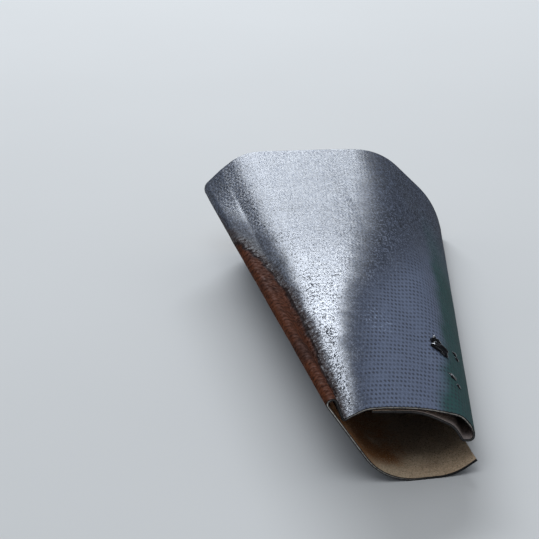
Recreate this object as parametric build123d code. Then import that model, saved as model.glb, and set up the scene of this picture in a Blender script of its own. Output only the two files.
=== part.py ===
from build123d import *
import os
from math import atan2, copysign, cos, hypot, radians, sin, tan

# A metre-wide sheet of torch-on roofing felt, loosely rolled on itself as it is laid.
# Millimetres. Y runs along the roll, from its tight end at the front to its open end at the back.
# Each end is one chain of straight runs and round bends, and the sheet is ruled between the two.

# The sheet
sheet_thickness = 4.2
sheet_width = 1000.0

# The tail lies on the floor and curls up a little at its tip
tail_tip_x_front = 88.0
tail_tip_x_back = 112.0
tail_lift_front = 24.0
tail_lift_back = 11.0
tail_curl_x_front = 50.0
tail_curl_x_back = 76.0
tail_curl_radius = 90.0

# The left wall rises from the floor to the fold
wall_foot_x = -62.0
wall_foot_radius = 100.0
wall_lean = 33.5

# The fold, where the sheet turns back over itself
fold_z_front = 148.0
fold_z_back = 133.0
fold_inner_radius_front = 5.0
fold_inner_radius_back = 13.0
fold_top_slope_front = 18.0
fold_side_slope_back = 80.0

# The sheet dips to the wall behind the fold at the front end only, and then rises to the crown
dip_gap = 1.5
dip_z_front = 112.0
dip_z_back = 172.0
dip_x_back = -116.0
dip_inner_radius_front = 3.5
dip_radius_back = 60.0

# The crown, from its left corner over its middle to the shoulder
crown_left_x_front = -97.0
crown_left_x_back = -74.0
crown_left_z_front = 131.5
crown_left_z_back = 202.0
crown_left_radius_front = 55.0
crown_left_radius_back = 90.0
crown_x_front = -10.0
crown_x_back = 50.0
crown_z_front = 128.0
crown_z_back = 197.5
crown_radius_front = 400.0
crown_radius_back = 2500.0
shoulder_x_front = 62.0
shoulder_x_back = 188.0
shoulder_z_front = 103.0
shoulder_z_back = 188.0
shoulder_radius_front = 40.0
shoulder_radius_back = 130.0

# The right side falls from the shoulder to the hook
side_x_front = 80.0
side_x_back = 297.0
side_z_front = 79.0
side_z_back = 74.0
side_radius_front = 33.0
side_radius_back = 180.0

# The hook turns the sheet inwards, and stands on the floor at the back end only
hook_x_front = 82.0
hook_x_back = 316.0
hook_z_front = 60.0
hook_inner_radius_front = 5.5
hook_inner_radius_back = 10.0
hook_bottom_slope_front = 176.0

# The inner lap runs back up from the hook and comes to lie close under the crown at the front
lap_gap = 1.2
lap_bend_x_front = 49.0
lap_bend_x_back = 262.0
lap_bend_z_front = 87.0
lap_bend_z_back = 27.0
lap_bend_radius = 50.0
lap_join_x_front = -4.0
lap_join_x_back = 243.0
lap_join_z_back = 44.0
lap_join_radius = 110.0
lap_tip_x_front = -85.0
lap_tip_x_back = 226.0
lap_tip_z_back = 62.0

# Worked out from the sizes above
half = sheet_thickness / 2
floor_line = half

# How far apart the two corners of a tight turn stand, in its bend radii
SPREAD_OF_U_TURN = 2.45
SPREAD_OF_WIDE_TURN = 0.8

# The least share of a run that stays straight between its two bends
STRAIGHT_SHARE = 0.02

# Two directions whose cross product is shorter than this are the same
PARALLEL = 1e-6


def turn_corners(x, z, slope, radius, spread=SPREAD_OF_U_TURN):
    """The two corners of a tight turn, set apart along the slope so that both bends fit."""
    apart = spread * radius
    return [
        (x, z, radius),
        (x + apart * cos(radians(slope)), z + apart * sin(radians(slope)), radius),
    ]


def wall_x(z):
    """The wall's middle line at a height."""
    return wall_foot_x - (z - floor_line) * tan(radians(wall_lean))


def height_on(a, b, x):
    """The height of the line through two corners at x."""
    return a[1] + (b[1] - a[1]) * (x - a[0]) / (b[0] - a[0])


def front_corners():
    """The middle line of the sheet at the front end, as corners of X, Z and bend radius."""
    fold_radius = fold_inner_radius_front + half
    hook_radius = hook_inner_radius_front + half
    dip_radius = dip_inner_radius_front + half
    crown_left = (crown_left_x_front, crown_left_z_front, crown_left_radius_front)
    crown = (crown_x_front, crown_z_front, crown_radius_front)
    shoulder = (shoulder_x_front, shoulder_z_front, shoulder_radius_front)
    dip_clear = (sheet_thickness + dip_gap) / cos(radians(wall_lean))
    lap_pitch = sheet_thickness + lap_gap
    join_z = height_on(crown_left, crown, lap_join_x_front) - 2 * lap_pitch
    tip_z = height_on(crown_left, crown, lap_tip_x_front) - lap_pitch
    return [
        (tail_tip_x_front, floor_line + tail_lift_front, 0),
        (tail_curl_x_front, floor_line, tail_curl_radius),
        (wall_foot_x, floor_line, wall_foot_radius),
        *turn_corners(wall_x(fold_z_front), fold_z_front, fold_top_slope_front, fold_radius),
        (wall_x(dip_z_front) + dip_clear, dip_z_front, dip_radius),
        crown_left,
        crown,
        shoulder,
        (side_x_front, side_z_front, side_radius_front),
        *turn_corners(hook_x_front, hook_z_front, hook_bottom_slope_front, hook_radius),
        (lap_bend_x_front, lap_bend_z_front, lap_bend_radius),
        (lap_join_x_front, join_z, lap_join_radius),
        (lap_tip_x_front, tip_z, 0),
    ]


def back_corners():
    """The middle line of the sheet at the back end, with one corner for each one at the front."""
    fold_radius = fold_inner_radius_back + half
    hook_radius = hook_inner_radius_back + half
    return [
        (tail_tip_x_back, floor_line + tail_lift_back, 0),
        (tail_curl_x_back, floor_line, tail_curl_radius),
        (wall_foot_x, floor_line, wall_foot_radius),
        *turn_corners(
            wall_x(fold_z_back), fold_z_back, fold_side_slope_back, fold_radius, SPREAD_OF_WIDE_TURN
        ),
        (dip_x_back, dip_z_back, dip_radius_back),
        (crown_left_x_back, crown_left_z_back, crown_left_radius_back),
        (crown_x_back, crown_z_back, crown_radius_back),
        (shoulder_x_back, shoulder_z_back, shoulder_radius_back),
        (side_x_back, side_z_back, side_radius_back),
        *turn_corners(hook_x_back, floor_line, 180, hook_radius),
        (lap_bend_x_back, lap_bend_z_back, lap_bend_radius),
        (lap_join_x_back, lap_join_z_back, lap_join_radius),
        (lap_tip_x_back, lap_tip_z_back, 0),
    ]


def ways_and_turns(corners):
    """For each corner, the direction in which the line comes to it, and the angle that it turns there."""
    ways = [atan2(b[1] - a[1], b[0] - a[0]) for a, b in zip(corners, corners[1:])]
    ways_in = [ways[0], *ways]
    ways_out = [*ways, ways[-1]]
    return [(way, atan2(sin(out - way), cos(out - way))) for way, out in zip(ways_in, ways_out)]


def bends_within_runs(corners):
    """The same corners, with smaller bends wherever a run is too short for the two at its ends."""
    reaches = [c[2] * tan(abs(turn) / 2) for c, (way, turn) in zip(corners, ways_and_turns(corners))]
    shares = [1]
    for i, (a, b) in enumerate(zip(corners, corners[1:])):
        room = (1 - STRAIGHT_SHARE) * hypot(b[0] - a[0], b[1] - a[1])
        shares.append(min(1, room / (reaches[i] + reaches[i + 1])))
    shares.append(1)
    return [(x, z, radius * min(shares[i], shares[i + 1])) for i, (x, z, radius) in enumerate(corners)]


def face_line(corners, side):
    """The corners of one face of the sheet: half a thickness to the left (1) or right (-1)."""
    moved = []
    for (x, z, radius), (way, turn) in zip(corners, ways_and_turns(corners)):
        normal = way + turn / 2 + radians(90)
        reach = side * half / cos(turn / 2)
        bend = radius - copysign(1, turn) * side * half if radius else 0
        moved.append((x + reach * cos(normal), z + reach * sin(normal), bend))
    return moved


def end_edges(corners, y):
    """The edges of the sheet's section across the roll at y: its two faces, and its two cut ends."""
    corners = bends_within_runs(corners)
    outer = face_line(corners, 1)
    inner = face_line(corners, -1)
    edges = []
    for line in (outer, inner):
        points = [(x, y, z) for x, z, bend in line]
        bends = [bend for x, z, bend in line[1:-1]]
        edges += FilletPolyline(*points, radius=bends).edges()
    for end in (0, -1):
        a, b = outer[end], inner[end]
        edges.append(Edge.make_line((a[0], y, a[1]), (b[0], y, b[1])))
    return edges


def face_between(a, b):
    """The face from an edge at the front to its partner at the back, flat where both run the same way."""
    straight = a.geom_type == GeomType.LINE and b.geom_type == GeomType.LINE
    if straight and (a % 0).cross(b % 0).length < PARALLEL:
        return Face(Wire.make_polygon([a @ 0, a @ 1, b @ 1, b @ 0]))
    return Face.make_surface_from_curves(a, b)


front = end_edges(front_corners(), 0)
back = end_edges(back_corners(), sheet_width)
skin = [face_between(a, b) for a, b in zip(front, back, strict=True)]
ends = [Face(Wire(edges)) for edges in (front, back)]
felt = Solid(Shell(skin + ends))

# The origin lies under the middle of the roll, on the floor
box = felt.bounding_box()
felt = Pos(-box.center().X, -box.center().Y, -box.min.Z) * felt

os.makedirs("parts", exist_ok=True)
export_step(felt, "parts/felt_sheet.step")
print("valid", felt.is_valid, "size", box.size, "origin at", box.center().X, "mass centre", felt.center(CenterOf.MASS))
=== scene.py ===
from math import atan2, ceil, cos, pi, radians, sin, tan

import bmesh
import bpy
import numpy as np
from mathutils import Matrix, Vector, noise


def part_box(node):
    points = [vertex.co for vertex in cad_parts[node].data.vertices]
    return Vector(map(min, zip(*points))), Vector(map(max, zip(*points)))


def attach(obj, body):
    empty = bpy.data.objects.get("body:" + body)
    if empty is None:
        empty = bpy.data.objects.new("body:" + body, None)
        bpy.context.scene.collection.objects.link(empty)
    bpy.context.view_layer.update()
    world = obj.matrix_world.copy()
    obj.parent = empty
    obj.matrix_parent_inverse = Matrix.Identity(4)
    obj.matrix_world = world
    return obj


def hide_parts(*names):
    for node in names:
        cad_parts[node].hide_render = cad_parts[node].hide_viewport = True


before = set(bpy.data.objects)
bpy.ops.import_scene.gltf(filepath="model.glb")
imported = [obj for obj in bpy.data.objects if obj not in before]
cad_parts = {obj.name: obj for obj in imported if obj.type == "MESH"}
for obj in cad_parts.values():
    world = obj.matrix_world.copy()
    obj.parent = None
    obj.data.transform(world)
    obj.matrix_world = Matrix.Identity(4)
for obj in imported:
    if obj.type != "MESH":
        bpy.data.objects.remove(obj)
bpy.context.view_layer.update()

# A metre-wide sheet of bitumen roofing felt, loosely rolled on itself.
# The sheet's sizes are in millimetres and are those of the part. A size with two values has the front
# end's first and the back end's second. Everything in the scene is in metres.

# The sheet
THICKNESS = 4.2
WIDTH = 1000.0
HALF = THICKNESS / 2
FLOOR_LINE = HALF

# The tail lies on the floor and curls up a little at its tip
TAIL_TIP_X = (88.0, 112.0)
TAIL_LIFT = (24.0, 11.0)
TAIL_CURL_X = (50.0, 76.0)
TAIL_CURL_RADIUS = 90.0

# The left wall rises from the floor to the fold
WALL_FOOT_X = -62.0
WALL_FOOT_RADIUS = 100.0
WALL_LEAN = 33.5

# The fold, where the sheet turns back over itself
FOLD_Z = (148.0, 133.0)
FOLD_INNER_RADIUS = (5.0, 13.0)
FOLD_TOP_SLOPE_FRONT = 18.0
FOLD_SIDE_SLOPE_BACK = 80.0

# The dip behind the fold
DIP_GAP = 1.5
DIP_Z = (112.0, 172.0)
DIP_X_BACK = -116.0
DIP_INNER_RADIUS_FRONT = 3.5
DIP_RADIUS_BACK = 60.0

# The crown, from its left corner over its middle to the shoulder
CROWN_LEFT_X = (-97.0, -74.0)
CROWN_LEFT_Z = (131.5, 202.0)
CROWN_LEFT_RADIUS = (55.0, 90.0)
CROWN_X = (-10.0, 50.0)
CROWN_Z = (128.0, 197.5)
CROWN_RADIUS = (400.0, 2500.0)
SHOULDER_X = (62.0, 188.0)
SHOULDER_Z = (103.0, 188.0)
SHOULDER_RADIUS = (40.0, 130.0)

# The right side falls from the shoulder to the hook, which turns the sheet inwards
SIDE_X = (80.0, 297.0)
SIDE_Z = (79.0, 74.0)
SIDE_RADIUS = (33.0, 180.0)
HOOK_X = (82.0, 316.0)
HOOK_Z_FRONT = 60.0
HOOK_INNER_RADIUS = (5.5, 10.0)
HOOK_BOTTOM_SLOPE_FRONT = 176.0

# The inner lap runs back up from the hook and lies close under the crown at the front
LAP_GAP = 1.2
LAP_BEND_X = (49.0, 262.0)
LAP_BEND_Z = (87.0, 27.0)
LAP_BEND_RADIUS = 50.0
LAP_JOIN_X = (-4.0, 243.0)
LAP_JOIN_Z_BACK = 44.0
LAP_JOIN_RADIUS = 110.0
LAP_TIP_X = (-85.0, 226.0)
LAP_TIP_Z_BACK = 62.0

# How far apart the two corners of a tight turn stand, in its bend radii
SPREAD_OF_U_TURN = 2.45
SPREAD_OF_WIDE_TURN = 0.8

# The mesh of the sheet. Its rows lie close together beside both ends, which keeps the arris crisp
STEP_ROUND = 5.5
STEP_ROUND_BEND = radians(9.0)
STEP_ALONG = 7.0
ARRIS_STEPS = (0.0, 0.7, 2.2)
RIM_ROWS = 4
SHARP_FROM = radians(50)

# Slow waves in the real sheet, with ripples that are so many times shorter and lower
WAVE_HEIGHT = 0.9
WAVE_LENGTH = 95.0
WAVE_SHARE_AT_FRONT = 0.45
RIPPLES_SHORTER = 2.3
RIPPLES_LOWER = 3.0

# The sheet bulges beside the fold, from the front end to where this bank has died away
BANK_HEIGHT = 2.6
BANK_ENDS = (260.0, 480.0)

# A knife's uneven cut: its slow wander, and the roughness on that
CUT_WANDER = 1.1
CUT_WANDER_LENGTH = 38.0
CUT_ROUGHNESS = 0.8
CUT_ROUGHNESS_LENGTH = 6.0

# The film's pattern. Dimples and grains are drawn as coarse as they show from where the photograph was taken
DIMPLE_PITCH_ACROSS = 6.6
DIMPLE_PITCH_ALONG = 13.9
DIMPLE_RIM = (0.42, 0.18)
GRAIN_OF_FILM = 1.9
GRAIN_STRETCH = (1.0, 0.6, 1.0)
TILT_OF_CLEAN_GRAIN = 0.14
TILT_OF_HEATED_GRAIN = 0.075
TILT_OF_DUSTED_GRAIN = 0.05
TILT_OF_SOOTED_GRAIN = 0.055
TILT_OF_BARE_GRAIN = 0.2

# The widths of the other patterns, in millimetres. Specks and grit are drawn as coarse as they show
FILM_CLOUDS = 140.0
WORN_PATCHES = 26.0
DUST_SPECKS = 2.4
SCUFF_STREAKS = 5.0
RAGGED_BITUMEN = 7.0
BITUMEN_CLOUDS = 60.0
SAND_GRIT = 2.6
SAND_CLUSTERS = 7.0
SAND_CLOUDS = 90.0
TORN_CUT = 4.0
DRIP_SKIN = 16.0
FLOOR_CLOUDS = 700.0

# The pale fibres in the cut edge, from their soft start to their soft end, as shares of the thickness
FIBRES_START = (0.25, 0.4)
FIBRES_END = (0.75, 0.6)

# Where the finish changes, in millimetres round the sheet or along the roll. Most changes are a soft step
# with a start and an end, and clouds of stain with smaller and fainter spots in them push their edges
STAIN_LENGTH = 45.0
STAIN_PUSH = 8.0
SPOTS_SHORTER = 3.0
SPOTS_FAINTER = 2.0

# The film has melted off this far past the fold, and less far towards the back
MELTED_TO = 72.0
MELTED_LOSS = 62.0
MELTED_NARROWS = (350.0, 900.0)
FOLD_FADE = 38.0

# The soot and the gloss beside the bare band start from an edge that moves as it runs along the roll
EDGE_MOVES_ALONG = (150.0, 480.0, 650.0, 850.0)
EDGE_MOVES_BY = (0.0, 9.0, 9.0, -38.0)
SOOT_FADE = (6.0, 46.0)
SOOT_ENDS = (700.0, 880.0)
GLOSS_FROM = (14.0, 62.0)

# The gloss ends on a line that moves round the sheet towards the back, where it also fades more slowly
# and is a little weaker
GLOSS_END_ALONG = (0.0, 200.0, 300.0, 400.0, 540.0, 700.0, 1000.0)
GLOSS_END_ROUND = (394.0, 418.0, 441.0, 468.0, 526.0, 582.0, 690.0)
GLOSS_FADE = (14.0, 62.0)
GLOSS_WEAKENS = (350.0, 700.0)
GLOSS_LOSS = 0.18

# Dust lies past the gloss and on the wall, and fades in more slowly towards the back. A drift is
# millimetres round the sheet for each one along it
DUST_WAITS_FROM = 400.0
DUST_DRIFT = 0.27
DUST_FADE = (34.0, 160.0)
DUST_STEP = (-0.3, 1.0)
DUST_ENDS = (600.0, 880.0)
DUST_ON_WALL = 0.6

# The green tint runs down the right side
GREEN_START_AT_FRONT = 533.0
GREEN_DRIFT = 0.25
GREEN_FADE = (-18.0, 12.0)
GREEN_ENDS = (550.0, 900.0)

# One scuffed place: its middle, its reach, and its soft edge as shares of that
SCUFF_PLACE = (489.0, 288.0)
SCUFF_REACH = (32.0, 80.0)
SCUFF_FADE = (0.2, 1.0)
SCUFF_RAGGEDNESS = 0.3

# The sand face has a painted warm glow inside, but not on a lip of the tail
GLOW_FADE = (0.1, 1.0)
GLOW_RAGGEDNESS = 0.35
GLOW_ENDS = (150.0, 480.0)
GLOW_OFF_LIP = (8.0, 75.0)

# Painted shade darkens it in the fold, and in the bore where it has less painted glow
SHADE_STARTS = (16.0, 140.0)
SHADE_ENDS = (480.0, 820.0)
SHADE_PUSH = 40.0
SHADE_IN_BORE = 0.62
SHADE_OFF_GLOW = 0.65

# A drip of bitumen is a knobbly ball, cut off a little below its middle and stretched to its size
LUMP_RADIUS = 0.5
LUMP_UNEVENNESS = 0.3
LUMP_KNOBBLES = 2.6
LUMP_SUNK_SHARE = -0.06
LUMP_SUBDIVISIONS = 4

# How far each seed moves through the noise, for the sheet and for the drips
SEED_STEP = (17.3, 5.1, 9.7)
DRIP_SEED_STEP = (3.7, 1.3, 7.1)

# The studio, in metres
FLOOR_SIDE = 30.0
FLOOR_CLEARANCE = 0.0002
CAMERA_RANGE = 100.0
DAYLIGHT = "#e9f1fc"
SURROUND = "#8c9198"
SPREAD_OF_LAMPS = radians(100)

FRONT, BACK = 0, 1
MM_PER_M = 1000.0
FLAT_MAP = "flat_sheet"
SOFT = {"interpolation_type": "SMOOTHSTEP"}

# A face of the film is bare bitumen where it has melted off by more than this share
FILM_SLOT, SAND_SLOT, CUT_SLOT, BARE_SLOT = range(4)
BARE_FROM = 0.8

# The names of the masks that the finishes read
MELTED, HEATED, DUSTED = "melted_film", "heated_film", "dusted_film"
GREEN_TINT, SCUFFED, SOOTED = "green_tint", "scuffed_film", "sooted_film"
GLOW_INSIDE, SHADE_UNDER_HOOK, SHADE_INSIDE, FIBRES_LIT = "glow_inside_sand", "shade_under_hook_sand", "shade_inside_sand", "fibres_lit_cut"

# The corners of the section, in their order round it
TAIL_TIP, TAIL_CURL, WALL_FOOT, FOLD_A, FOLD_B, DIP, CROWN_LEFT, CROWN, SHOULDER, SIDE = range(10)
HOOK_A, HOOK_B, LAP_BEND, LAP_JOIN, LAP_TIP = range(10, 15)

# How pale the cut is round the section, partly painted light and shade: corner, with a share of the way to
# the next one, and amount
FIBRES_LIT_ROUND = [
    (TAIL_TIP, 0.0), (WALL_FOOT - 0.5, 0.05), (WALL_FOOT + 0.3, 0.7), (FOLD_A - 0.05, 1.0),
    (FOLD_A + 0.6, 0.1), (DIP, 0.05), (DIP + 0.5, 0.5), (CROWN_LEFT, 0.8), (SHOULDER + 0.7, 0.8),
    (SIDE + 0.3, 0.1), (LAP_TIP, 0.1),
]


def turn_corners(x, z, slope, radius, spread=SPREAD_OF_U_TURN):
    """The two corners of a tight turn, set apart along the slope so that both bends fit."""
    apart = spread * radius
    return [
        (x, z, radius),
        (x + apart * cos(radians(slope)), z + apart * sin(radians(slope)), radius),
    ]


def wall_x(z):
    """The wall's middle line at a height."""
    return WALL_FOOT_X - (z - FLOOR_LINE) * tan(radians(WALL_LEAN))


def height_on(a, b, x):
    """The height of the line through two corners at x."""
    return a[1] + (b[1] - a[1]) * (x - a[0]) / (b[0] - a[0])


def front_corners():
    """The middle line of the sheet at the front end, as corners of X, Z and bend radius."""
    end = FRONT
    crown_left = (CROWN_LEFT_X[end], CROWN_LEFT_Z[end], CROWN_LEFT_RADIUS[end])
    crown = (CROWN_X[end], CROWN_Z[end], CROWN_RADIUS[end])
    dip_clear = (THICKNESS + DIP_GAP) / cos(radians(WALL_LEAN))
    lap_pitch = THICKNESS + LAP_GAP
    join_z = height_on(crown_left, crown, LAP_JOIN_X[end]) - 2 * lap_pitch
    tip_z = height_on(crown_left, crown, LAP_TIP_X[end]) - lap_pitch
    fold_radius = FOLD_INNER_RADIUS[end] + HALF
    return [
        (TAIL_TIP_X[end], FLOOR_LINE + TAIL_LIFT[end], 0),
        (TAIL_CURL_X[end], FLOOR_LINE, TAIL_CURL_RADIUS),
        (WALL_FOOT_X, FLOOR_LINE, WALL_FOOT_RADIUS),
        *turn_corners(wall_x(FOLD_Z[end]), FOLD_Z[end], FOLD_TOP_SLOPE_FRONT, fold_radius),
        (wall_x(DIP_Z[end]) + dip_clear, DIP_Z[end], DIP_INNER_RADIUS_FRONT + HALF),
        crown_left,
        crown,
        (SHOULDER_X[end], SHOULDER_Z[end], SHOULDER_RADIUS[end]),
        (SIDE_X[end], SIDE_Z[end], SIDE_RADIUS[end]),
        *turn_corners(HOOK_X[end], HOOK_Z_FRONT, HOOK_BOTTOM_SLOPE_FRONT, HOOK_INNER_RADIUS[end] + HALF),
        (LAP_BEND_X[end], LAP_BEND_Z[end], LAP_BEND_RADIUS),
        (LAP_JOIN_X[end], join_z, LAP_JOIN_RADIUS),
        (LAP_TIP_X[end], tip_z, 0),
    ]


def back_corners():
    """The middle line of the sheet at the back end, with one corner for each one at the front."""
    end = BACK
    fold_radius = FOLD_INNER_RADIUS[end] + HALF
    return [
        (TAIL_TIP_X[end], FLOOR_LINE + TAIL_LIFT[end], 0),
        (TAIL_CURL_X[end], FLOOR_LINE, TAIL_CURL_RADIUS),
        (WALL_FOOT_X, FLOOR_LINE, WALL_FOOT_RADIUS),
        *turn_corners(
            wall_x(FOLD_Z[end]), FOLD_Z[end], FOLD_SIDE_SLOPE_BACK, fold_radius, SPREAD_OF_WIDE_TURN
        ),
        (DIP_X_BACK, DIP_Z[end], DIP_RADIUS_BACK),
        (CROWN_LEFT_X[end], CROWN_LEFT_Z[end], CROWN_LEFT_RADIUS[end]),
        (CROWN_X[end], CROWN_Z[end], CROWN_RADIUS[end]),
        (SHOULDER_X[end], SHOULDER_Z[end], SHOULDER_RADIUS[end]),
        (SIDE_X[end], SIDE_Z[end], SIDE_RADIUS[end]),
        *turn_corners(HOOK_X[end], FLOOR_LINE, 180, HOOK_INNER_RADIUS[end] + HALF),
        (LAP_BEND_X[end], LAP_BEND_Z[end], LAP_BEND_RADIUS),
        (LAP_JOIN_X[end], LAP_JOIN_Z_BACK, LAP_JOIN_RADIUS),
        (LAP_TIP_X[end], LAP_TIP_Z_BACK, 0),
    ]


def runs_and_bends(corners):
    """The chain as straight runs and round bends.

    A run is given by its two ends, and a bend by its centre, radius, first angle and turn.
    """
    points = [np.array(c[:2], float) for c in corners]
    pieces = []
    start = points[0]
    for i in range(1, len(corners) - 1):
        into, out = points[i] - points[i - 1], points[i + 1] - points[i]
        into, out = into / np.linalg.norm(into), out / np.linalg.norm(out)
        turn = atan2(into[0] * out[1] - into[1] * out[0], into @ out)
        side = 1 if turn > 0 else -1
        reach = corners[i][2] * tan(abs(turn) / 2)
        first = points[i] - into * reach
        left = np.array([-into[1], into[0]]) * side
        centre = first + left * corners[i][2]
        angle = atan2(first[1] - centre[1], first[0] - centre[0])
        pieces.append(("run", start, first))
        pieces.append(("bend", centre, corners[i][2], angle, turn))
        start = points[i] + out * reach
    pieces.append(("run", start, points[-1]))
    return pieces


def samples(piece, count):
    """Points along a run or a bend, without its last one."""
    shares = np.arange(count)[:, None] / count
    if piece[0] == "run":
        return piece[1] + (piece[2] - piece[1]) * shares
    centre, radius, angle, turn = piece[1:]
    angles = angle + turn * shares
    return centre + radius * np.hstack([np.cos(angles), np.sin(angles)])


def piece_steps(piece):
    """How many steps a run or a bend is divided into."""
    if piece[0] == "run":
        return max(1, ceil(np.linalg.norm(piece[2] - piece[1]) / STEP_ROUND))
    radius, turn = piece[2], piece[4]
    return max(1, ceil(radius * abs(turn) / STEP_ROUND), ceil(abs(turn) / STEP_ROUND_BEND))


def both_sections():
    """The middle lines at the front and back ends, point for point, and where on them each corner lies."""
    front, back = runs_and_bends(front_corners()), runs_and_bends(back_corners())
    steps = [max(piece_steps(a), piece_steps(b)) for a, b in zip(front, back)]
    lines = [
        np.vstack([samples(p, n) for p, n in zip(pieces, steps)] + [pieces[-1][2][None]])
        for pieces in (front, back)
    ]
    starts = np.concatenate([[0], np.cumsum(steps)])
    middle_of_bend = (starts[1:-1:2] + starts[2::2]) / 2
    corner_at = [0, *middle_of_bend, starts[-1]]
    return lines[FRONT], lines[BACK], corner_at


def places_along():
    """Distances from the front end, in millimetres, close together beside both ends."""
    inner = np.linspace(0, WIDTH, int(WIDTH / STEP_ALONG) + 1)[1:-1]
    near = np.array(ARRIS_STEPS)
    return np.concatenate([near, inner, WIDTH - near[::-1]])


def unit(vectors):
    """Vectors of length one."""
    return vectors / np.linalg.norm(vectors, axis=-1, keepdims=True)


def wander(places, length, seed):
    """Smooth noise, about -1 to 1, at places given in millimetres."""
    shift = Vector([seed * step for step in SEED_STEP])
    flat = np.asarray(places, float).reshape(-1, np.shape(places)[-1]) / length
    values = [noise.noise(Vector((*p, *(0.0,) * (3 - len(p)))) + shift) for p in flat]
    return np.array(values).reshape(np.shape(places)[:-1])


def middle_surface():
    """The sheet's middle surface as a grid of points, with its normals and its places on the flat sheet."""
    front, back, corner_at = both_sections()
    along = places_along()
    share = (along / WIDTH)[None, :, None]
    section = front[:, None, :] * (1 - share) + back[:, None, :] * share
    steps = np.linalg.norm(np.diff(section, axis=0), axis=2)
    round_way = np.vstack([np.zeros((1, len(along))), np.cumsum(steps, axis=0)])
    grid = np.stack([section[..., 0], np.broadcast_to(along, section.shape[:2]), section[..., 1]], axis=2)
    flat = np.stack([round_way, grid[..., 1]], axis=2)
    normal = unit(np.cross(np.gradient(grid, axis=0), np.gradient(grid, axis=1)))
    return grid, normal, flat, corner_at


def smooth(value, low, high):
    """0 below low, 1 above high, and a soft step between."""
    share = np.clip((np.asarray(value, float) - low) / (high - low), 0, 1)
    return share * share * (3 - 2 * share)


def between(corner_at, count, places):
    """A column of weights, one for each row of the grid, on straight lines between (corner, value) pairs.

    A corner may have a share of the way to the next one added to it.
    """
    rows = np.interp([c for c, value in places], range(len(corner_at)), corner_at)
    return np.interp(np.arange(count), rows, [value for c, value in places])[:, None]


def waved(grid, normal, flat, corner_at):
    """The middle surface with the slow waves of a sheet that has been handled."""
    loose = between(
        corner_at, len(grid), [(WALL_FOOT, 0), (FOLD_A, 1), (SHOULDER, 1), (SIDE, 0.7), (HOOK_A, 0)]
    )
    along = WAVE_SHARE_AT_FRONT + (1 - WAVE_SHARE_AT_FRONT) * smooth(grid[0, :, 1], 0, WIDTH / 2)
    wave = wander(flat, WAVE_LENGTH, 1) + wander(flat, WAVE_LENGTH / RIPPLES_SHORTER, 2) / RIPPLES_LOWER
    up_bank = smooth(between(corner_at, len(grid), [(DIP - 0.25, 0), (DIP + 0.3, 1)]), 0, 1)
    down_bank = smooth(between(corner_at, len(grid), [(DIP + 0.3, 1), (DIP + 0.85, 0)]), 0, 1)
    bank = BANK_HEIGHT * up_bank * down_bank * (1 - smooth(grid[0, :, 1], *BANK_ENDS))[None, :]
    return grid + normal * (WAVE_HEIGHT * wave * loose * along[None, :] + bank)[..., None]


def uneven_cut(places, seed):
    """How far a knife's cut lies inside the sheet's full size, in millimetres."""
    places = np.asarray(places)[:, None]
    slow = wander(places, CUT_WANDER_LENGTH, seed) * CUT_WANDER
    quick = wander(places, CUT_ROUGHNESS_LENGTH, seed + 1) * CUT_ROUGHNESS
    return np.clip(CUT_WANDER + slow + quick, CUT_ROUGHNESS, None)


def cut_edges(grid, flat):
    """Moves the four edges of the sheet inwards, each along its own uneven cut."""
    cut = grid.copy()
    along = grid[0, :, 1]
    fade = np.clip(1 - along / STEP_ALONG, 0, 1)[None, :]
    cut[..., 1] += uneven_cut(flat[:, 0, 0], 3)[:, None] * fade
    cut[..., 1] -= uneven_cut(flat[:, -1, 0], 5)[:, None] * fade[:, ::-1]
    for edge, next_row, seed in ((0, 1, 7), (-1, -2, 9)):
        inwards = unit(grid[next_row] - grid[edge])
        cut[edge] += inwards * uneven_cut(along, seed)[:, None]
    return cut


def rim_loop(rows, columns):
    """The grid's border once round, as (row, column) pairs."""
    return (
        [(i, 0) for i in range(rows)]
        + [(rows - 1, j) for j in range(1, columns)]
        + [(i, columns - 1) for i in range(rows - 2, -1, -1)]
        + [(0, j) for j in range(columns - 2, 0, -1)]
    )


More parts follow.
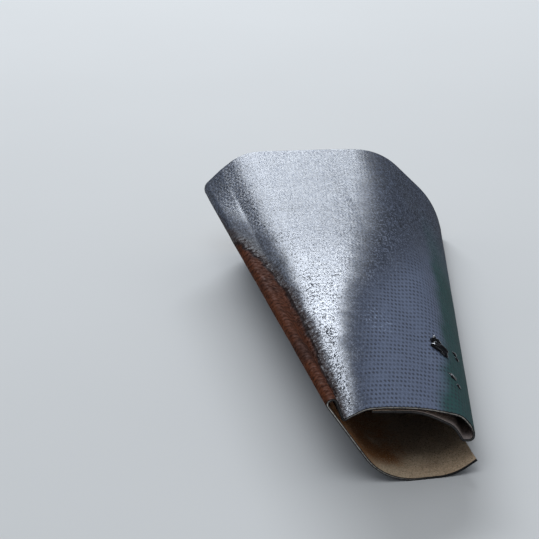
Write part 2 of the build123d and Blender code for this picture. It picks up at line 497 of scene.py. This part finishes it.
def sheet_mesh(film, sand, flat, masks):
    """One closed mesh of the film face, the sand face and the cut rim, with the masks as attributes."""
    rows, columns = film.shape[:2]
    number = np.arange(rows * columns).reshape(rows, columns)
    a, b, c, d = number[:-1, :-1], number[1:, :-1], number[1:, 1:], number[:-1, 1:]
    film_faces = np.stack([a, b, c, d], axis=-1).reshape(-1, 4)
    sand_faces = np.stack([a, d, c, b], axis=-1).reshape(-1, 4) + rows * columns

    loop = rim_loop(rows, columns)
    loop_rows, loop_columns = np.array(loop).T
    top, bottom = film[loop_rows, loop_columns], sand[loop_rows, loop_columns]
    steps = np.linalg.norm(np.roll(top, -1, axis=0) - top, axis=1)
    end = steps.cumsum()
    start = end - steps
    depths = np.arange(1, RIM_ROWS) / RIM_ROWS
    rim_points = [top + (bottom - top) * depth for depth in depths]
    ring = [number[loop_rows, loop_columns]]
    ring += [2 * rows * columns + k * len(loop) + np.arange(len(loop)) for k in range(len(depths))]
    ring += [number[loop_rows, loop_columns] + rows * columns]
    rim_faces = np.vstack([
        np.stack([upper, lower, np.roll(lower, -1), np.roll(upper, -1)], axis=-1)
        for upper, lower in zip(ring, ring[1:])
    ])

    points = np.vstack([film.reshape(-1, 3), sand.reshape(-1, 3), *rim_points])
    faces = np.vstack([film_faces, sand_faces, rim_faces])
    mesh = bpy.data.meshes.new("felt_sheet_finish")
    mesh.from_pydata(points.tolist(), [], faces.tolist())

    corner_uv = np.concatenate([flat.reshape(-1, 2)] * 2)[np.concatenate([film_faces, sand_faces]).ravel()]
    rim_uv = []
    for k in range(RIM_ROWS):
        near = np.full(len(loop), k / RIM_ROWS * THICKNESS / MM_PER_M)
        far = np.full(len(loop), (k + 1) / RIM_ROWS * THICKNESS / MM_PER_M)
        rim_uv.append(np.stack([start, near, start, far, end, far, end, near], axis=-1).reshape(-1, 2))
    uv = mesh.uv_layers.new(name=FLAT_MAP)
    uv.data.foreach_set("uv", np.concatenate([corner_uv, *rim_uv]).ravel().astype(np.float32))

    for name, mask in masks.items():
        values = mask.reshape(-1)
        on_rim = mask[loop_rows, loop_columns]
        attribute = mesh.attributes.new(name, "FLOAT", "POINT")
        attribute.data.foreach_set(
            "value", np.concatenate([values, values, *[on_rim] * len(depths)]).astype(np.float32)
        )
    slots = np.repeat([FILM_SLOT, SAND_SLOT, CUT_SLOT], [len(film_faces), len(sand_faces), len(rim_faces)])
    melted = masks[MELTED].reshape(-1)[film_faces].mean(axis=1)
    slots[: len(film_faces)][melted > BARE_FROM] = BARE_SLOT
    mesh.polygons.foreach_set("material_index", slots.astype(np.int32))
    mesh.polygons.foreach_set("use_smooth", np.ones(len(faces), bool))
    mesh.update()
    mesh.set_sharp_from_angle(angle=SHARP_FROM)
    return mesh


def painted_masks(flat, corner_at):
    """How strongly each point of the sheet shows a stain, a tint or a sheen, from 0 to 1."""
    rows = len(flat)
    round_way, along = flat[..., 0], flat[..., 1]
    share_along = along / WIDTH
    cloud = wander(flat, STAIN_LENGTH, 11) + wander(flat, STAIN_LENGTH / SPOTS_SHORTER, 12) / SPOTS_FAINTER
    push = STAIN_PUSH * cloud

    up_wall = between(corner_at, rows, [(WALL_FOOT + 0.5, 0), (WALL_FOOT + 0.85, 1)])
    top_of_fold = round_way[round((corner_at[FOLD_A] + corner_at[FOLD_B]) / 2)]
    past_fold = round_way - top_of_fold + push
    melted_to = MELTED_TO - MELTED_LOSS * smooth(along, *MELTED_NARROWS)
    melted = (1 - smooth(past_fold, melted_to - FOLD_FADE, melted_to)) * up_wall

    past_edge = past_fold - np.interp(along, EDGE_MOVES_ALONG, EDGE_MOVES_BY)
    sooted = (1 - smooth(past_edge, *SOOT_FADE)) * up_wall * (1 - smooth(along, *SOOT_ENDS))

    gloss_end = np.interp(along, GLOSS_END_ALONG, GLOSS_END_ROUND)
    gloss_fade = GLOSS_FADE[FRONT] + (GLOSS_FADE[BACK] - GLOSS_FADE[FRONT]) * share_along
    heated = smooth(past_edge, *GLOSS_FROM) * (1 - GLOSS_LOSS * smooth(along, *GLOSS_WEAKENS))
    heated = heated * (1 - smooth((round_way - gloss_end + push) / gloss_fade, -1, 1))

    dust_start = gloss_end + DUST_DRIFT * np.maximum(along - DUST_WAITS_FROM, 0)
    dust_fade = DUST_FADE[FRONT] + (DUST_FADE[BACK] - DUST_FADE[FRONT]) * share_along
    dusted = smooth((round_way - dust_start + push) / dust_fade, *DUST_STEP)
    dusted = dusted * (1 - smooth(along, *DUST_ENDS))
    on_wall = between(corner_at, rows, [(WALL_FOOT + 0.5, 1), (WALL_FOOT + 0.9, 0)])
    dusted = np.maximum(dusted, DUST_ON_WALL * on_wall)

    green_start = GREEN_START_AT_FRONT + GREEN_DRIFT * along
    down_side = between(corner_at, rows, [(SIDE + 0.3, 1), (HOOK_A, 0)])
    green = smooth(round_way - green_start + push, *GREEN_FADE) * down_side
    green = green * (1 - smooth(along, *GREEN_ENDS))

    from_scuff = (flat - np.array(SCUFF_PLACE)) / np.array(SCUFF_REACH)
    from_scuff = np.linalg.norm(from_scuff, axis=-1) + SCUFF_RAGGEDNESS * cloud
    scuffed = 1 - smooth(from_scuff, *SCUFF_FADE)

    # Painted warm glow on the sand face inside the roll, kept off a lip of the tail
    inside = between(
        corner_at, rows, [(WALL_FOOT - 0.9, 0), (WALL_FOOT + 0.15, 1), (FOLD_A, 1), (CROWN, 0)]
    )
    on_tail = between(corner_at, rows, [(WALL_FOOT, 1), (WALL_FOOT + 0.3, 0)])
    off_lip = 1 - on_tail * (1 - smooth(along, *GLOW_OFF_LIP))
    painted_glow = smooth(inside + GLOW_RAGGEDNESS * cloud, *GLOW_FADE) * off_lip
    painted_glow = painted_glow * (1 - smooth(along, *GLOW_ENDS))
    # Painted shade: grey on the sand face under the hook
    grey_shade = between(corner_at, rows, [(CROWN + 0.5, 0), (SHOULDER, 1), (LAP_JOIN, 1), (LAP_TIP, 0.4)])

    # Painted shade: the sand face is darker in the fold and deep in the bore
    in_fold = between(
        corner_at, rows, [(FOLD_A - 0.15, 0), (FOLD_A + 0.2, 1), (DIP + 0.4, 1), (CROWN_LEFT, 0)]
    )
    in_bore = SHADE_IN_BORE * smooth(along + SHADE_PUSH * cloud, *SHADE_STARTS)
    in_bore = in_bore * (1 - SHADE_OFF_GLOW * painted_glow)
    painted_shade = np.maximum(in_fold, in_bore) * (1 - smooth(along, *SHADE_ENDS))

    # Painted light and shade along the cut's fibre line
    fibres_lit_cut = between(corner_at, rows, FIBRES_LIT_ROUND)
    masks = {
        MELTED: melted, HEATED: heated, DUSTED: dusted, GREEN_TINT: green, SCUFFED: scuffed, SOOTED: sooted,
        GLOW_INSIDE: painted_glow, SHADE_UNDER_HOOK: grey_shade, SHADE_INSIDE: painted_shade, FIBRES_LIT: fibres_lit_cut,
    }
    return {name: np.broadcast_to(mask, flat.shape[:2]) for name, mask in masks.items()}


def linear(hex_colour):
    """An sRGB hex colour as linear red, green, blue and alpha."""
    channels = [int(hex_colour[i : i + 2], 16) / 255 for i in (1, 3, 5)]
    return (*[c / 12.92 if c <= 0.04045 else ((c + 0.055) / 1.055) ** 2.4 for c in channels], 1.0)


def add(tree, kind, inputs=(), **settings):
    """Adds a node and gives its first output in use.

    Settings are the node's own properties. Inputs are values or other nodes' outputs, in the order of the
    inputs in use, or by name.
    """
    node = tree.nodes.new(kind)
    for name, value in settings.items():
        setattr(node, name, value)
    in_use = [socket for socket in node.inputs if socket.enabled]
    if isinstance(inputs, dict):
        in_use = [node.inputs[name] for name in inputs]
        inputs = inputs.values()
    for socket, value in zip(in_use, inputs):
        if isinstance(value, bpy.types.NodeSocket):
            tree.links.new(value, socket)
        else:
            socket.default_value = value
    return next(socket for socket in node.outputs if socket.enabled)


def new_material(name, **surface):
    """A material with one Principled shader, whose even values are set on its own sockets."""
    material = bpy.data.materials.new(name)
    material.use_nodes = True
    tree = material.node_tree
    shader = tree.nodes["Principled BSDF"]
    for socket, value in surface.items():
        shader.inputs[socket.replace("_", " ")].default_value = value
    return material, tree, shader


def finish_with(tree, shader, **sockets):
    """Links a worked-out colour, roughness or normal to the shader."""
    for name, output in sockets.items():
        tree.links.new(output, shader.inputs[name.replace("_", " ")])


def layered_colour(tree, first, layers):
    """A colour with others laid over it, each as strongly as its share says."""
    colour = linear(first)
    for share, over in layers:
        colour = add(tree, "ShaderNodeMix", [share, colour, linear(over)], data_type="RGBA")
    return colour


def layered_relief(tree, layers, under=None):
    """Reliefs laid over each other: the height of each, its depth in millimetres, and how strong it is."""
    for height, depth_mm, strength in layers:
        inputs = {"Height": height, "Distance": depth_mm / MM_PER_M, "Strength": strength}
        if under is not None:
            inputs["Normal"] = under
        under = add(tree, "ShaderNodeBump", inputs)
    return under


def burn_off_film():
    """Polyethylene burn-off film, embossed and pressed onto black bitumen.

    It gives the eye a dark slate plastic skin with a fine paler grain, which is painted glint, and rows of
    small dimples darkened with painted shade. Dust pales it. Where it has been heated it lies unevenly on the
    bitumen, so that each grain of it glints by itself. Beside the fold it is sooted, and then it has melted
    off and left the rough bitumen bare. The right side has a green tint, and one place a pale scuff.
    """
    material, tree, shader = new_material("burn_off_film", IOR=1.5, Specular_IOR_Level=0.32)
    place = add(tree, "ShaderNodeUVMap", uv_map=FLAT_MAP)
    melted, heated, dusted, green, scuffed, sooted = (
        add(tree, "ShaderNodeAttribute", attribute_name=name)
        for name in (MELTED, HEATED, DUSTED, GREEN_TINT, SCUFFED, SOOTED)
    )
    clouds = add(tree, "ShaderNodeTexNoise", [place, MM_PER_M / FILM_CLOUDS, 3.0])
    patches = add(tree, "ShaderNodeTexNoise", [place, MM_PER_M / WORN_PATCHES, 2.0])
    ragged = add(tree, "ShaderNodeTexNoise", [place, MM_PER_M / RAGGED_BITUMEN, 4.0, 0.65])
    fine = add(tree, "ShaderNodeTexNoise", [place, MM_PER_M / DUST_SPECKS, 2.0, 0.6])

    # Staggered rows of dimples: each row is pushed half a pitch past the one before it
    round_pitches = (MM_PER_M / DIMPLE_PITCH_ACROSS, 0, 0)
    along_pitches = (0, MM_PER_M / DIMPLE_PITCH_ALONG, 0)
    across = add(tree, "ShaderNodeVectorMath", [place, round_pitches], operation="DOT_PRODUCT")
    along = add(tree, "ShaderNodeVectorMath", [place, along_pitches], operation="DOT_PRODUCT")
    row = add(tree, "ShaderNodeMath", [along], operation="ROUND")
    pushed = add(tree, "ShaderNodeMath", [row, 0.5, across], operation="MULTIPLY_ADD")
    in_rows = add(tree, "ShaderNodeCombineXYZ", [pushed, along])
    dimples = {"Vector": in_rows, "Scale": 1.0, "Randomness": 0.12}
    from_dimple = add(tree, "ShaderNodeTexVoronoi", dimples, voronoi_dimensions="2D")
    dimple = add(tree, "ShaderNodeMapRange", [from_dimple, *DIMPLE_RIM], **SOFT)
    worn = add(tree, "ShaderNodeMapRange", [patches, 0.3, 0.6, 0.4, 1.0], **SOFT)
    dimple = add(tree, "ShaderNodeMath", [dimple, worn], operation="MULTIPLY")
    # Painted shade: the dimples' hollows are darker, and more so where dust lies
    dimple_shade_shown = add(tree, "ShaderNodeMapRange", [dusted, 0.05, 0.7, 0.25, 0.8])
    dimple_shade = add(tree, "ShaderNodeMath", [dimple, dimple_shade_shown], operation="MULTIPLY")

    # Grains of film, each tilted its own way and with a value of its own for its gloss and its paleness, a
    # painted glint
    stretched = add(tree, "ShaderNodeVectorMath", [place, GRAIN_STRETCH], operation="MULTIPLY")
    grains = {"Vector": stretched, "Scale": MM_PER_M / GRAIN_OF_FILM}
    grain = add(tree, "ShaderNodeTexVoronoi", grains, voronoi_dimensions="2D")
    own_value = grain.node.outputs["Color"]
    facing = add(tree, "ShaderNodeVectorMath", [own_value, (1, 1, 0), (0, 0, 1)], operation="MULTIPLY_ADD")
    tilt = TILT_OF_CLEAN_GRAIN
    for share, own_tilt in (
        (heated, TILT_OF_HEATED_GRAIN), (dusted, TILT_OF_DUSTED_GRAIN),
        (sooted, TILT_OF_SOOTED_GRAIN), (melted, TILT_OF_BARE_GRAIN),
    ):
        tilt = add(tree, "ShaderNodeMix", [share, tilt, own_tilt])
    facets = add(tree, "ShaderNodeNormalMap", {"Strength": tilt, "Color": facing}, uv_map=FLAT_MAP)

    ragged_melt = add(tree, "ShaderNodeMath", [melted, ragged])
    bare = add(tree, "ShaderNodeMapRange", [ragged_melt, 0.65, 1.25], **SOFT)
    streaks = add(tree, "ShaderNodeTexNoise", [stretched, MM_PER_M / SCUFF_STREAKS, 3.0, 0.7])
    wisps = add(tree, "ShaderNodeMapRange", [streaks, 0.52, 0.66], **SOFT)
    scuff = add(tree, "ShaderNodeMath", [wisps, scuffed], operation="MULTIPLY")
    pale_specks = add(tree, "ShaderNodeMapRange", [fine, 0.45, 0.7, 0.0, 0.5], **SOFT)
    specks_shown = add(tree, "ShaderNodeMapRange", [dusted, 0.0, 1.0, 0.35, 1.0])
    pale_specks = add(tree, "ShaderNodeMath", [pale_specks, specks_shown], operation="MULTIPLY")
    undusted = add(tree, "ShaderNodeMath", [1.0, dusted], operation="SUBTRACT")
    # Painted glint: paler grains where the film is not dusted
    grain_glint = add(tree, "ShaderNodeMapRange", [own_value, 0.4, 0.9, 0.0, 0.62])
    grain_glint = add(tree, "ShaderNodeMath", [grain_glint, undusted], operation="MULTIPLY")
    colour = layered_colour(tree, "#0e131d", [
        (add(tree, "ShaderNodeMapRange", [clouds, 0.35, 0.65, 0.0, 1.0], **SOFT), "#161c2a"),
        (grain_glint, "#4c5a74"),
        (dusted, "#555e72"),
        (pale_specks, "#74809a"),
        (scuff, "#8792a8"),
        (green, "#063f3c"),
        (sooted, "#15151a"),
        (dimple_shade, "#0d1120"),
        (bare, "#26120a"),
    ])
    rough = add(tree, "ShaderNodeMapRange", [own_value, 0.6, 1.0, 0.92, 0.6])
    smooth_grain = add(tree, "ShaderNodeMapRange", [own_value, 0.0, 1.0, 0.13, 0.36])
    bare_rough = add(tree, "ShaderNodeMapRange", [ragged, 0.35, 0.65, 0.45, 1.0])
    for share, value in (
        (heated, smooth_grain), (dusted, 0.88), (green, 0.9), (sooted, 0.6), (bare, bare_rough),
    ):
        rough = add(tree, "ShaderNodeMix", [share, rough, value])
    embossed = add(tree, "ShaderNodeMapRange", [dusted, 0.0, 1.0, 0.3, 0.15])
    normal = layered_relief(
        tree, [(patches, 0.9, 0.25), (dimple, -0.35, embossed), (ragged, 2.2, bare)], under=facets
    )
    finish_with(tree, shader, Base_Color=colour, Roughness=rough, Normal=normal)
    return material


def bare_bitumen():
    """Bitumen along the fold, where the film has melted off.

    It gives the eye a dull, rough crust, nearly black at its edges, with a painted red-brown glow in the
    middle of the band.
    """
    material, tree, shader = new_material("bare_bitumen", Specular_IOR_Level=0.05)
    place = add(tree, "ShaderNodeUVMap", uv_map=FLAT_MAP)
    melted = add(tree, "ShaderNodeAttribute", attribute_name=MELTED)
    ragged = add(tree, "ShaderNodeTexNoise", [place, MM_PER_M / RAGGED_BITUMEN, 4.0, 0.65])
    clouds = add(tree, "ShaderNodeTexNoise", [place, MM_PER_M / BITUMEN_CLOUDS, 3.0])
    # Painted glow: a warm red-brown in the middle of the band
    middle = add(tree, "ShaderNodeMapRange", [melted, 0.88, 1.0], **SOFT)
    band_glow = add(tree, "ShaderNodeMapRange", [clouds, 0.35, 0.6, 0.5, 1.0], **SOFT)
    band_glow = add(tree, "ShaderNodeMath", [band_glow, middle], operation="MULTIPLY")
    colour = layered_colour(tree, "#1d0c06", [
        (band_glow, "#58290a"),
        (add(tree, "ShaderNodeMapRange", [ragged, 0.42, 0.66, 0.0, 0.8], **SOFT), "#190a05"),
    ])
    rough = add(tree, "ShaderNodeMapRange", [ragged, 0.35, 0.65, 0.55, 1.0])
    normal = layered_relief(tree, [(ragged, 1.4, 0.7)])
    finish_with(tree, shader, Base_Color=colour, Roughness=rough, Normal=normal)
    return material


def sanded_face():
    """Fine tan sand rolled into the hot bitumen.

    It gives the eye a dull, gritty face like coarse paper, with dark grains where bitumen shows through.
    Inside the roll it has a painted warm glow and painted shade, and painted grey shade under the hook.
    """
    material, tree, shader = new_material("sanded_face", Roughness=0.92, Specular_IOR_Level=0.25)
    place = add(tree, "ShaderNodeUVMap", uv_map=FLAT_MAP)
    painted_glow, grey_shade, dark_shade = (
        add(tree, "ShaderNodeAttribute", attribute_name=name) for name in (GLOW_INSIDE, SHADE_UNDER_HOOK, SHADE_INSIDE)
    )
    grit = add(tree, "ShaderNodeTexNoise", [place, MM_PER_M / SAND_GRIT, 1.0])
    coarse = add(tree, "ShaderNodeTexNoise", [place, MM_PER_M / SAND_CLUSTERS, 3.0, 0.6])
    clouds = add(tree, "ShaderNodeTexNoise", [place, MM_PER_M / SAND_CLOUDS, 3.0])
    # Painted shade: the sand is grey under the hook and dark inside the roll
    painted_shade = add(tree, "ShaderNodeMapRange", [grey_shade, 0.0, 1.0, 0.0, 0.7])
    # Painted warm glow inside the roll, in patches
    glow_patches = add(tree, "ShaderNodeMath", [painted_glow, coarse], operation="ADD")
    colour = layered_colour(tree, "#c4a888", [
        (add(tree, "ShaderNodeMapRange", [clouds, 0.35, 0.65], **SOFT), "#d4bb9a"),
        (add(tree, "ShaderNodeMapRange", [coarse, 0.3, 0.6, 0.5, 0.0], **SOFT), "#957c62"),
        (add(tree, "ShaderNodeMapRange", [glow_patches, 0.6, 1.5, 0.0, 0.9], **SOFT), "#9a5c1e"),
        (painted_shade, "#8b858d"),
        (add(tree, "ShaderNodeMapRange", [grit, 0.44, 0.26, 0.0, 0.85], **SOFT), "#4f4335"),
        (add(tree, "ShaderNodeMapRange", [grit, 0.58, 0.78, 0.0, 0.8], **SOFT), "#e2d4b6"),
        (add(tree, "ShaderNodeMapRange", [dark_shade, 0.0, 1.0, 0.0, 0.9]), "#281d17"),
    ])
    normal = layered_relief(tree, [(coarse, 0.6, 0.5), (grit, 0.6, 0.8)])
    finish_with(tree, shader, Base_Color=colour, Normal=normal)
    return material


def knife_cut():
    """Bitumen and polyester fleece, cut with a hooked knife.

    It gives the eye a black torn edge with a thin pale line of fibres in its middle. Where that line shows is
    partly painted light and shade: it is pale where the edge catches light, and fades where the edge lies in
    shade, on the tail, in the fold and in the hook.
    """
    material, tree, shader = new_material("knife_cut_edge", Roughness=0.75, Specular_IOR_Level=0.3)
    place = add(tree, "ShaderNodeUVMap", uv_map=FLAT_MAP)
    # Painted light and shade: the fibre line is pale where the edge catches light
    pale = add(tree, "ShaderNodeAttribute", attribute_name=FIBRES_LIT)
    depth = add(tree, "ShaderNodeVectorMath", [place, (0, MM_PER_M / THICKNESS, 0)], operation="DOT_PRODUCT")
    torn = add(tree, "ShaderNodeTexNoise", [place, MM_PER_M / TORN_CUT, 3.0, 0.65])
    upper = add(tree, "ShaderNodeMapRange", [depth, *FIBRES_START], **SOFT)
    lower = add(tree, "ShaderNodeMapRange", [depth, *FIBRES_END], **SOFT)
    shown = add(tree, "ShaderNodeMapRange", [torn, 0.35, 0.55, 0.35, 1.0], **SOFT)
    amount = upper
    for share in (lower, shown, pale):
        amount = add(tree, "ShaderNodeMath", [amount, share], operation="MULTIPLY")
    colour = layered_colour(tree, "#100e0f", [(amount, "#c4beb4")])
    normal = layered_relief(tree, [(torn, 1.0, 0.8)])
    finish_with(tree, shader, Base_Color=colour, Normal=normal)
    return material


def set_bitumen():
    """Melted bitumen that has dripped and set.

    It gives the eye a black lump with one glint on its ridge.
    """
    material, tree, shader = new_material("set_bitumen", Specular_IOR_Level=0.22)
    place = add(tree, "ShaderNodeTexCoord").node.outputs["Object"]
    skin = add(tree, "ShaderNodeTexNoise", [place, MM_PER_M / DRIP_SKIN, 1.0])
    colour = layered_colour(tree, "#050406", [(skin, "#0c0a0f")])
    rough = add(tree, "ShaderNodeMapRange", [skin, 0.4, 0.6, 0.12, 0.22])
    normal = layered_relief(tree, [(skin, 0.3, 0.15)])
    finish_with(tree, shader, Base_Color=colour, Roughness=rough, Normal=normal)
    return material


def pale_floor():
    """Matt pale floor paint. It gives the eye a quiet ground that keeps the object's shadow."""
    material, tree, shader = new_material("pale_floor", Roughness=0.95, Specular_IOR_Level=0.1)
    place = add(tree, "ShaderNodeTexCoord").node.outputs["Object"]
    clouds = add(tree, "ShaderNodeTexNoise", [place, MM_PER_M / FLOOR_CLOUDS, 3.0])
    finish_with(tree, shader, Base_Color=layered_colour(tree, "#dcdad5", [(clouds, "#e2e0db")]))
    return material


def lump(bm, place, out, size, turn, seed):
    """A lump of bitumen stuck to a face. Size is its length, width and height in millimetres."""
    along = (Vector((0, 1, 0)) - out * out.y).normalized()
    basis = Matrix((along, out.cross(along), out)).transposed() @ Matrix.Rotation(turn, 3, "Z")
    shift = Vector([seed * step for step in DRIP_SEED_STEP])
    for vertex in bmesh.ops.create_icosphere(bm, subdivisions=LUMP_SUBDIVISIONS, radius=LUMP_RADIUS)["verts"]:
        ball = vertex.co * (1 + LUMP_UNEVENNESS * noise.noise(vertex.co * LUMP_KNOBBLES + shift))
        height = size[2] / LUMP_RADIUS * max(ball.z, LUMP_SUNK_SHARE)
        vertex.co = place + basis @ Vector((ball.x * size[0], ball.y * size[1], height)) / MM_PER_M


def finished(bm, name, materials):
    """A bmesh as a smooth object in the scene."""
    mesh = bpy.data.meshes.new(name)
    for face in bm.faces:
        face.smooth = True
    bm.to_mesh(mesh)
    bm.free()
    return placed(mesh, name, materials)


def placed(mesh, name, materials):
    """An object for a mesh, with its materials."""
    piece = bpy.data.objects.new(name, mesh)
    for material in materials:
        mesh.materials.append(material)
    bpy.context.scene.collection.objects.link(piece)
    return piece


def on_face(surface, normal, corner_at, corner, share, along_mm):
    """A point of the film face, and its normal there.

    It lies a share of the way from one corner of the section to the next, and along_mm from the front.
    """
    row = corner_at[corner] + share * (corner_at[corner + 1] - corner_at[corner])
    column = int(np.argmin(abs(surface[0, :, 1] * MM_PER_M + WIDTH / 2 - along_mm)))
    low = int(row)
    point = surface[low, column] * (1 - row + low) + surface[low + 1, column] * (row - low)
    return Vector(point), Vector(normal[low, column]).normalized()


# The sheet, placed as the part is
grid, normal, flat, corner_at = middle_surface()
plain_faces = [grid + normal * HALF, grid - normal * HALF]
low, high = (Vector(corner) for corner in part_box("felt_sheet"))
lowest = np.min([face.reshape(-1, 3).min(axis=0) for face in plain_faces], axis=0)
to_part_place = np.array(low) - lowest / MM_PER_M

grid = cut_edges(waved(grid, normal, flat, corner_at), flat)
normal = unit(np.cross(np.gradient(grid, axis=0), np.gradient(grid, axis=1)))
film_face, sand_face = (
    np.clip((grid + normal * side * HALF) / MM_PER_M + to_part_place, low, high) for side in (1, -1)
)
mesh = sheet_mesh(film_face, sand_face, flat / MM_PER_M, painted_masks(flat, corner_at))
felt = placed(mesh, "felt_sheet_finish", [burn_off_film(), sanded_face(), knife_cut(), bare_bitumen()])
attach(felt, "root")
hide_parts("felt_sheet")

# Drips of bitumen on the right side: corner, share to the next corner, distance from the front, size and turn
DRIPS = [
    (CROWN, 0.92, 222.0, (36.0, 17.0, 8.0), 0.7),
    (CROWN, 0.88, 236.0, (27.0, 12.0, 9.0), 0.45),
    (SHOULDER, 0.04, 208.0, (16.0, 14.0, 5.0), 0.9),
    (CROWN, 0.9, 254.0, (16.0, 5.0, 3.0), 0.0),
    (SHOULDER, 0.62, 246.0, (11.0, 12.0, 2.4), 0.3),
    (SHOULDER, 0.7, 230.0, (9.0, 10.0, 2.4), 0.0),
    (SHOULDER, 0.12, 132.0, (18.0, 13.0, 2.0), 0.4),
    (SHOULDER, 0.3, 114.0, (12.0, 10.0, 2.0), 0.1),
]
bm = bmesh.new()
for seed, (corner, share, along_mm, size, turn) in enumerate(DRIPS):
    point, out = on_face(film_face, normal, corner_at, corner, share, along_mm)
    lump(bm, point, out, size, turn, seed)
drips = finished(bm, "bitumen_drips", [set_bitumen()])
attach(drips, "root")

# The camera, at the photograph's angle: the tail's front edge stands on one known pixel, at a known scale
PHOTO_SIDE_PX = 539
PHOTO_FOCAL_PX = 2626
VIEW_ELEVATION = radians(22.0)
VIEW_AZIMUTH = radians(12.5)
NEAR_POINT_PX = (423.0, 480.0)
NEAR_POINT_PX_PER_M = 640.0

right = Vector((cos(VIEW_AZIMUTH), -sin(VIEW_AZIMUTH), 0))
level = Vector((sin(VIEW_AZIMUTH), cos(VIEW_AZIMUTH), 0))
ahead = level * cos(VIEW_ELEVATION) - Vector((0, 0, sin(VIEW_ELEVATION)))
up = right.cross(ahead)
centre_px = PHOTO_SIDE_PX / 2
to_near_point = (
    ahead
    + right * (NEAR_POINT_PX[0] - centre_px) / PHOTO_FOCAL_PX
    + up * (centre_px - NEAR_POINT_PX[1]) / PHOTO_FOCAL_PX
)
near_point = Vector(to_part_place)
camera = bpy.data.objects.new("camera", bpy.data.cameras.new("camera"))
facing = Matrix((right, up, -ahead)).transposed().to_4x4()
stand_off = to_near_point * PHOTO_FOCAL_PX / NEAR_POINT_PX_PER_M
camera.matrix_world = Matrix.Translation(near_point - stand_off) @ facing
camera.data.lens = camera.data.sensor_width * PHOTO_FOCAL_PX / PHOTO_SIDE_PX
camera.data.clip_end = CAMERA_RANGE
bpy.context.scene.collection.objects.link(camera)
bpy.context.scene.camera = camera


def softbox(name, place, aim, size, brightness):
    """A large soft lamp that the camera doesn't see. Brightness is its own, as a share of white."""
    lamp = bpy.data.lights.new(name, "AREA")
    lamp.shape = "RECTANGLE"
    lamp.size, lamp.size_y = size
    half_spread = SPREAD_OF_LAMPS / 2
    lamp.spread = SPREAD_OF_LAMPS
    lamp.energy = brightness * pi * size[0] * size[1] * (1 - half_spread / tan(half_spread))
    lamp.color = linear(DAYLIGHT)[:3]
    holder = bpy.data.objects.new(name, lamp)
    holder.location = place
    holder.rotation_euler = (Vector(aim) - Vector(place)).to_track_quat("-Z", "Y").to_euler()
    holder.visible_camera = False
    bpy.context.scene.collection.objects.link(holder)
    return holder


# A tall bright panel behind the object draws the sheen along it, and a weaker one fills from the front left
softbox("sheen_panel", place=(0.3, 6.2, 3.55), aim=(-0.05, 0.1, 0.1), size=(4.9, 1.5), brightness=23.5)
softbox("front_fill", place=(-1.3, -2.3, 4.3), aim=(0, 0, 0.05), size=(2.6, 2.6), brightness=3.5)


def studio_world(colour):
    """An even surround of one pale grey."""
    world = bpy.data.worlds.new("studio")
    world.use_nodes = True
    world.node_tree.nodes["Background"].inputs["Color"].default_value = linear(colour)
    bpy.context.scene.world = world


studio_world(SURROUND)

floor_mesh = bpy.data.meshes.new("floor")
half = FLOOR_SIDE / 2
floor_corners = [(-half, -half, 0), (half, -half, 0), (half, half, 0), (-half, half, 0)]
floor_mesh.from_pydata(floor_corners, [], [(0, 1, 2, 3)])
floor = placed(floor_mesh, "floor", [pale_floor()])
floor.location.z = -FLOOR_CLEARANCE

bpy.context.scene.view_settings.view_transform = "Standard"
